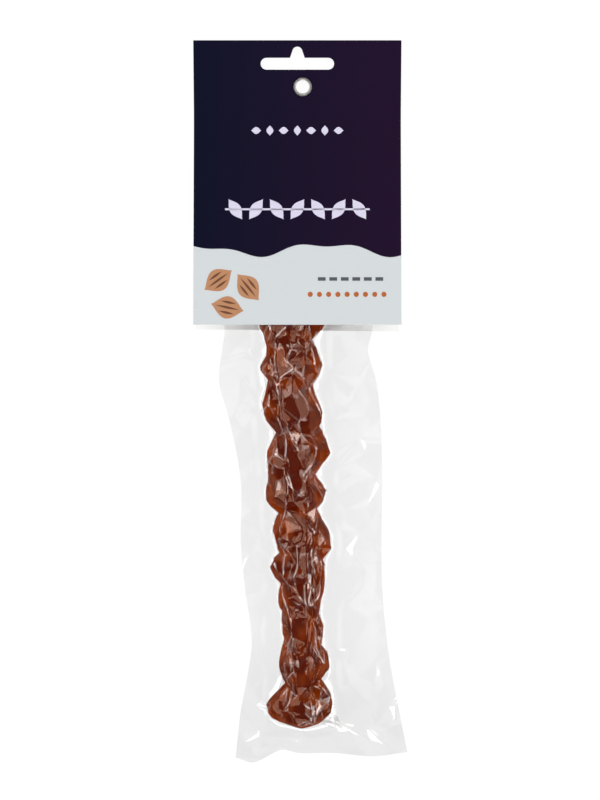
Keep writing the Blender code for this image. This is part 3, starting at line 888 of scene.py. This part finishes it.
def grid_mesh(name, points, closed=False, flip=False):
    """Quads over a grid of points in millimetres; closed joins its last column to its first."""
    rows, columns = points.shape[:2]
    index = np.arange(rows * columns).reshape(rows, columns)
    if closed:
        index = np.concatenate([index, index[:, :1]], axis=1)
    quads = np.stack([index[:-1, :-1], index[:-1, 1:], index[1:, 1:], index[1:, :-1]], axis=-1)
    quads = quads.reshape(-1, 4)
    if flip:
        quads = quads[:, ::-1]
    mesh = bpy.data.meshes.new(name)
    mesh.from_pydata((points.reshape(-1, 3) * MM).tolist(), [], quads.tolist())
    mesh.update()
    mesh.shade_smooth()
    return mesh


def make_food(radii, material):
    distance = np.linspace(FOOD_END, STRING_LENGTH - FOOD_END, FOOD_RINGS)
    angle = np.arange(FOOD_SIDES) * 2 * math.pi / FOOD_SIDES
    s, a = np.meshgrid(distance, angle, indexing="ij")
    (radius,) = sample((radii,), s, a)
    points = on_string(s, a, radius)
    floor = np.where(points[..., 1] > FOLD_Y - BACK_REACH - 3.0, *FOOD_FLOOR)
    points[..., 2] = np.maximum(points[..., 2], floor)
    mesh = grid_mesh("walnut_string", points, closed=True)
    mesh.validate()
    food = new_object("walnut_string", mesh, material)
    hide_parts("churchkhela")


def open_at_eyelet(mesh):
    """Takes out the cells that the eyelet's barrel goes through."""
    form = bmesh.new()
    form.from_mesh(mesh)
    centre = Vector(EYELET_PLACE) * MM
    within = []
    for face in form.faces:
        if (face.calc_center_median().xy - centre).length < EYELET_RADIUS * MM:
            within.append(face)
    bmesh.ops.delete(form, geom=within, context="FACES")
    form.to_mesh(mesh)
    form.free()


def make_film(surface, food_radii, crest_highlights):
    loose, *others = [film_material(*film) for film in FILMS]
    folds = margin_folds(np.random.default_rng(MARGIN_SEED))
    for name, side, seed in LAYERS:
        points = press_layer(surface, folds, side, seed)
        mesh = grid_mesh(name, points, flip=side < 0)
        layer = new_object(name, mesh, loose)
        for material in others:
            mesh.materials.append(material)
        mesh.polygons.foreach_set("material_index", sort_film(points, food_radii, crest_highlights).ravel())
        open_at_eyelet(mesh)
        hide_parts("vacuum_pouch")


# Materials


def new_material(name):
    material = bpy.data.materials.new(name)
    material.use_nodes = True
    return material, material.node_tree.nodes, material.node_tree.links


def calculate(tree, operation, first, second=0.0, third=0.0):
    """The output of a Math node; each value is a number or another node's output."""
    node = tree.nodes.new("ShaderNodeMath")
    node.operation = operation
    for socket, value in zip(node.inputs, (first, second, third)):
        if isinstance(value, (int, float)):
            socket.default_value = value
        else:
            tree.links.new(value, socket)
    return node.outputs["Value"]


def blend_colours(tree, share, first, second):
    """The colour between two; each is a tuple of numbers or another node's output."""
    node = tree.nodes.new("ShaderNodeMix")
    node.data_type = "RGBA"
    tree.links.new(share, node.inputs["Factor"])
    colour_inputs = [socket for socket in node.inputs if socket.type == "RGBA"]
    for socket, value in zip(colour_inputs, (first, second)):
        if isinstance(value, tuple):
            socket.default_value = (*value, 1.0)
        else:
            tree.links.new(value, socket)
    return next(socket for socket in node.outputs if socket.type == "RGBA")


def set_values(node, values):
    for name, value in values.items():
        node.inputs[name].default_value = value


def parts_of(tree, vector):
    """The X, Y and Z outputs of a vector."""
    node = tree.nodes.new("ShaderNodeSeparateXYZ")
    tree.links.new(vector, node.inputs["Vector"])
    return node.outputs["X"], node.outputs["Y"], node.outputs["Z"]


def new_ramp(tree, ends, between=()):
    """A ramp with these places and colours at its two ends, and more between them."""
    node = tree.nodes.new("ShaderNodeValToRGB")
    elements = node.color_ramp.elements
    for element, (position, colour) in zip(elements, ends):
        element.position = position
        element.color = (*colour, 1.0)
    for position, colour in between:
        elements.new(position).color = (*colour, 1.0)
    return node


def food_material():
    """Dark away from the string's height, amber at its rims beside it: the amber is painted light
    coming through the skin, over mottles of the food's own tone.
    """
    material, nodes, links = new_material("dried_juice")
    tree = material.node_tree
    shader = nodes["Principled BSDF"]
    set_values(shader, {"Roughness": 0.3, "Specular IOR Level": 0.0, "Subsurface Weight": 0.35})
    set_values(shader, {"Subsurface Radius": (1.0, 0.25, 0.05), "Subsurface Scale": 0.003})
    place = nodes.new("ShaderNodeTexCoord")
    noise = nodes.new("ShaderNodeTexNoise")
    set_values(noise, {"Scale": 150.0, "Detail": 1.0})
    links.new(place.outputs["Object"], noise.inputs["Vector"])
    z = parts_of(tree, place.outputs["Object"])[2]
    # Painted light: amber at the string's height, fading to the dark colour above and below it
    height = calculate(tree, "SUBTRACT", z, STRING_Z * MM)
    glow_fade = calculate(tree, "DIVIDE", calculate(tree, "ABSOLUTE", height), PAINTED_GLOW_HEIGHT * MM)
    mottled = calculate(tree, "MULTIPLY_ADD", noise.outputs["Fac"], *MOTTLES)
    ramp = new_ramp(tree, FOOD_COLOURS_AND_PAINTED_GLOW)
    links.new(calculate(tree, "ADD", glow_fade, mottled), ramp.inputs["Fac"])
    links.new(ramp.outputs["Color"], shader.inputs["Base Color"])
    return material


def film_material(name, shine, roughness, clearness, tint):
    """Mostly clear, and a little greyer towards the pouch's foot."""
    material, nodes, links = new_material(name)
    nodes.remove(nodes["Principled BSDF"])
    clear = nodes.new("ShaderNodeBsdfTransparent")
    place = nodes.new("ShaderNodeTexCoord")
    change = nodes.new("ShaderNodeMapRange")
    change.interpolation_type = "SMOOTHSTEP"
    set_values(change, {"From Min": FOOT_CHANGE[0] * MM, "From Max": FOOT_CHANGE[1] * MM})
    set_values(change, {"To Min": clearness * FOOT_SHARE, "To Max": clearness})
    links.new(parts_of(material.node_tree, place.outputs["Object"])[1], change.inputs["Value"])
    links.new(change.outputs["Result"], clear.inputs["Color"])
    gloss = nodes.new("ShaderNodeBsdfGlossy")
    set_values(gloss, {"Color": (*tint, 1.0), "Roughness": roughness})
    mix = nodes.new("ShaderNodeMixShader")
    mix.inputs["Fac"].default_value = shine
    links.new(clear.outputs["BSDF"], mix.inputs[1])
    links.new(gloss.outputs["BSDF"], mix.inputs[2])
    links.new(mix.outputs["Shader"], nodes["Material Output"].inputs["Surface"])
    return material


def plain_material(name, colour, roughness, metallic=0.0, specular=0.5):
    material, nodes, _ = new_material(name)
    values = {"Base Color": (*colour, 1.0), "Roughness": roughness, "Metallic": metallic}
    set_values(nodes["Principled BSDF"], {**values, "Specular IOR Level": specular})
    return material


def board_material():
    """White board, printed on its outer side: navy to purple, with a pale field under a soft wave."""
    material, nodes, links = new_material("printed_board")
    tree = material.node_tree
    shader = nodes["Principled BSDF"]
    set_values(shader, {"Roughness": 0.45, "Specular IOR Level": 0.0})
    place = nodes.new("ShaderNodeTexCoord")
    x, y, z = parts_of(tree, place.outputs["Object"])
    facing = parts_of(tree, place.outputs["Normal"])[2]
    above = calculate(tree, "GREATER_THAN", z, BETWEEN_PANELS * MM)
    below = calculate(tree, "LESS_THAN", z, BETWEEN_PANELS * MM)
    up = calculate(tree, "GREATER_THAN", facing, 0.5)
    down = calculate(tree, "LESS_THAN", facing, -0.5)
    fold = calculate(tree, "GREATER_THAN", y, (FOLD_Y - 1.0) * MM)
    outside = calculate(tree, "MAXIMUM", calculate(tree, "MULTIPLY", above, up), fold)
    outside = calculate(tree, "MAXIMUM", outside, calculate(tree, "MULTIPLY", below, down))
    wave = WAVE_Y * MM
    for height, length, start in WAVES:
        turn = calculate(tree, "MULTIPLY_ADD", x, 2 * math.pi / (length * MM), start)
        swell = calculate(tree, "MULTIPLY", calculate(tree, "SINE", turn), height * MM)
        wave = calculate(tree, "ADD", swell, wave)
    pale = calculate(tree, "LESS_THAN", y, wave)
    across = calculate(tree, "SUBTRACT", x, (CARD_X - CARD_WIDTH / 2) * MM)
    across = calculate(tree, "DIVIDE", across, CARD_WIDTH * MM)
    dark = blend_colours(tree, across, NAVY, PURPLE)
    printed = blend_colours(tree, pale, dark, PALE)
    colour = blend_colours(tree, outside, BOARD_WHITE, printed)
    links.new(colour, shader.inputs["Base Color"])
    return material


# Print on the card's front


def leaf(x, y, length, width, turn):
    """A pointed oval about a place, turned by degrees from lying along X."""
    share = np.linspace(-1, 1, LEAF_POINTS)
    side = width / 2 * (1 - share**2) ** 1.4
    lower = np.stack([share * length / 2, -side])
    upper = np.stack([-share * length / 2, side])
    return turned(np.concatenate([lower, upper[:, 1:-1]], axis=1), x, y, turn)


def disc(x, y, diameter):
    angle = np.arange(LEAF_POINTS) * 2 * math.pi / LEAF_POINTS
    return turned(np.stack([np.cos(angle), np.sin(angle)]) * diameter / 2, x, y, 0.0)


def bar(x, y, length, width, turn):
    corners = np.array([[-1, 1, 1, -1], [-1, -1, 1, 1]]) / 2
    return turned(corners * np.array([[length], [width]]), x, y, turn)


def turned(outline, x, y, degrees):
    cos, sin = math.cos(math.radians(degrees)), math.sin(math.radians(degrees))
    return [(x + cos * u - sin * v, y + sin * u + cos * v) for u, v in outline.T]


def inlay(name, outlines, card_tree, lift, material):
    """Thin printed shapes that lie on the card's front panel."""
    points, faces = [], []
    for outline in outlines:
        faces.append(list(range(len(points), len(points) + len(outline))))
        for x, y in outline:
            hit = card_tree.ray_cast(Vector((x, y, ABOVE_CARD)) * MM, Vector((0, 0, -1)))
            points.append((x * MM, y * MM, hit[0].z + lift * MM))
    mesh = bpy.data.meshes.new(name)
    mesh.from_pydata(points, [], faces)
    mesh.update()
    new_object(name, mesh, material)


def print_card(card):
    tree = BVHTree.FromObject(card, bpy.context.evaluated_depsgraph_get())
    ink, grey, orange, tan, brown = [
        plain_material(name, colour, 0.5, specular=0.15) for name, colour in INKS
    ]
    pale = [leaf(CARD_X - 18 + 6 * i, SMALL_Y, 4.4, 3.0, 90 if i % 2 else 0) for i in range(7)]
    pale += [leaf(CARD_X - 27 + 9 * i, GARLAND_Y, 10.5, 5.0, 55 if i % 2 else -55) for i in range(7)]
    pale.append(bar(CARD_X, GARLAND_Y, 63.0, 0.8, 0.0))
    dashes = [bar(8.0 + 5.0 * i, DASHES_Y, 3.4, 1.5, 0.0) for i in range(6)]
    dots = [disc(3.0 + 4.0 * i, DOTS_Y, 2.2) for i in range(9)]
    kernels = [leaf(x, y, 14.5, 9.5, turn) for x, y, turn in KERNELS]
    veins = []
    for x, y, turn in KERNELS:
        for offset, length in VEINS:
            (middle,) = turned(np.array([[0.0], [offset]]), x, y, turn)
            veins.append(leaf(*middle, length, 1.0, turn))
    inlay("pale_print", pale, tree, PRINT_LIFT, ink)
    inlay("grey_print", dashes, tree, PRINT_LIFT, grey)
    inlay("orange_print", dots, tree, PRINT_LIFT, orange)
    inlay("tan_print", kernels, tree, PRINT_LIFT, tan)
    inlay("brown_print", veins, tree, 2 * PRINT_LIFT, brown)


# Studio


def make_floor():
    mesh = bpy.data.meshes.new("floor")
    corners = [(x * FLOOR_HALF, y * FLOOR_HALF, 0) for x, y in ((-1, -1), (1, -1), (1, 1), (-1, 1))]
    mesh.from_pydata(corners, [], [(0, 1, 2, 3)])
    floor = place_object("floor", mesh)
    floor.location.z = -FLOOR_GAP * MM
    material = plain_material("floor", (FLOOR_GREY,) * 3, 0.9, specular=0.0)
    shader = material.node_tree.nodes["Principled BSDF"]
    set_values(shader, {"Emission Color": (1.0, 1.0, 1.0, 1.0), "Emission Strength": FLOOR_LIGHT})
    mesh.materials.append(material)


def make_lamp(name, place, width, height, power):
    light = bpy.data.lights.new(name, "AREA")
    light.shape = "RECTANGLE"
    light.size = width
    light.size_y = height
    light.energy = power
    lamp = place_object(name, light)
    lamp.location = place
    lamp.rotation_mode = "QUATERNION"
    lamp.rotation_quaternion = (Vector((0, 0, 0)) - Vector(place)).to_track_quat("-Z", "Y")


def make_studio():
    world = bpy.data.worlds.new("studio")
    world.use_nodes = True
    nodes, links = world.node_tree.nodes, world.node_tree.links
    place = nodes.new("ShaderNodeTexCoord")
    towards = nodes.new("ShaderNodeVectorMath")
    towards.operation = "DOT_PRODUCT"
    towards.inputs[1].default_value = DARK_SKY
    ends, ring = ([(at, (light,) * 3) for at, light in part] for part in (SKY_ENDS, SKY_RING))
    ramp = new_ramp(world.node_tree, ends, ring)
    links.new(place.outputs["Generated"], towards.inputs[0])
    links.new(towards.outputs["Value"], ramp.inputs["Fac"])
    links.new(ramp.outputs["Color"], nodes["Background"].inputs["Color"])
    bpy.context.scene.world = world
    for lamp in LAMPS:
        make_lamp(*lamp)
    bpy.context.scene.view_settings.view_transform = "Standard"


def make_camera():
    camera = bpy.data.cameras.new("camera")
    camera.lens = CAMERA_LENS
    camera.sensor_width = 36.0
    camera.clip_start = 0.01
    holder = place_object("camera", camera)
    right = Vector((1, 0, 0))
    up = Vector((0, math.cos(CAMERA_TILT), -math.sin(CAMERA_TILT)))
    back = right.cross(up)
    facing = Matrix((right, up, back)).transposed().to_4x4()
    holder.matrix_world = Matrix.Translation(Vector(CAMERA_PLACE) * MM) @ facing
    bpy.context.scene.camera = holder


def main():
    make_camera()
    make_studio()
    make_floor()
    draw = np.random.default_rng(FOOD_SEED)
    base = blur(cad_radii(), 3)
    bulges = base - blur(base, FORM_PASSES)
    base = base + BULGE_LIMIT * np.tanh(BULGE_GAIN * bulges / BULGE_LIMIT)
    base = angular(base, np.random.default_rng(ANGULAR_SEED))
    relief = blur(crags(draw), 1) - CRAG_MIDDLE
    radii = base + CRAG_LIMIT * np.tanh(relief / CRAG_LIMIT)
    folds = film_folds(draw)
    film_radii, radii = crumpled(base, radii, folds)
    make_food(radii, food_material())
    make_film(Surface(film_radii), radii, painted_highlight_table(folds.crest_highlight_lines))
    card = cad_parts["header_card"]
    card.data.materials[0] = board_material()
    print_card(card)
    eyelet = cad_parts["eyelet"]
    eyelet.data.materials[0] = plain_material("eyelet_metal", (0.42, 0.41, 0.39), 0.35, 1.0)


main()
